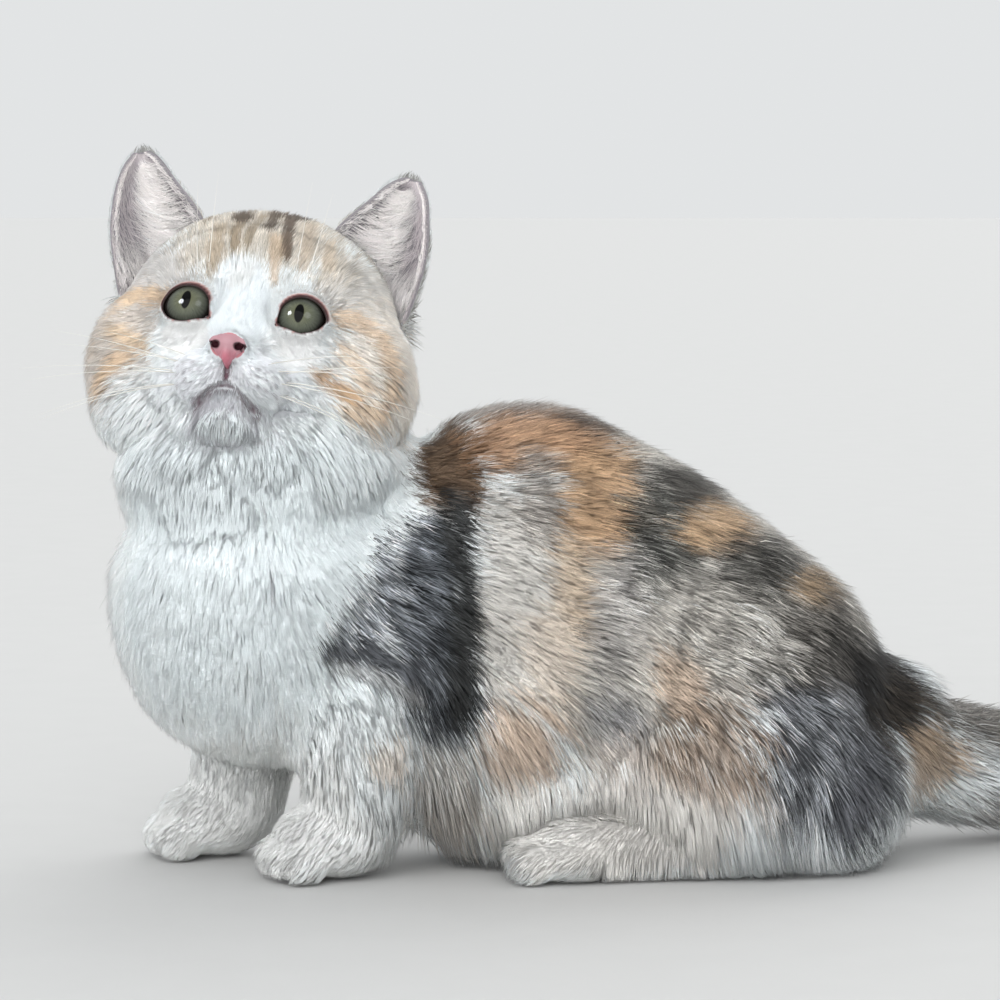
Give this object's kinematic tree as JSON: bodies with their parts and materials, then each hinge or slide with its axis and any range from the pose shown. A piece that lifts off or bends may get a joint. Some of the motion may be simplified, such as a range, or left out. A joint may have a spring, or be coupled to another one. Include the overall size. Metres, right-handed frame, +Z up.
{
  "type": "munchkin cat",
  "caption": "Life-size still model of a young short-legged cat, crouching with its head raised, patched long coat and its tail laid along the floor.",
  "frame": {"origin": "on the floor, under the middle of the bounding box", "axes": "+X from the head end towards the tail, along the body; the chest and face turn towards -Y; +Z up"},
  "size_m": [0.4523, 0.1989, 0.2516],
  "materials": {
    "white_coat": "soft white fur",
    "cream_coat": "soft cream and orange fur",
    "patched_coat": "soft fur in cream, orange and grey patches",
    "grey_coat": "soft dark grey fur with pale tips",
    "nose_leather": "smooth moist pink skin",
    "iris": "wet, grey-green"
  },
  "bodies": {
    "root": {"head": "cream_coat", "lower_jaw": "white_coat", "nose": "nose_leather", "ear_left": "white_coat", "ear_right": "white_coat", "eye_left": "iris", "eye_right": "iris", "neck": "white_coat", "chest": "white_coat", "abdomen": "patched_coat", "rump": "grey_coat", "foreleg_left": "white_coat", "foreleg_right": "white_coat", "forepaw_left": "white_coat", "forepaw_right": "white_coat", "thigh_left": "patched_coat", "thigh_right": "patched_coat", "hindfoot_left": "white_coat", "hindfoot_right": "white_coat", "tail_base": "grey_coat", "tail_middle": "grey_coat", "tail_tip": "grey_coat"}
  },
  "joints": []
}
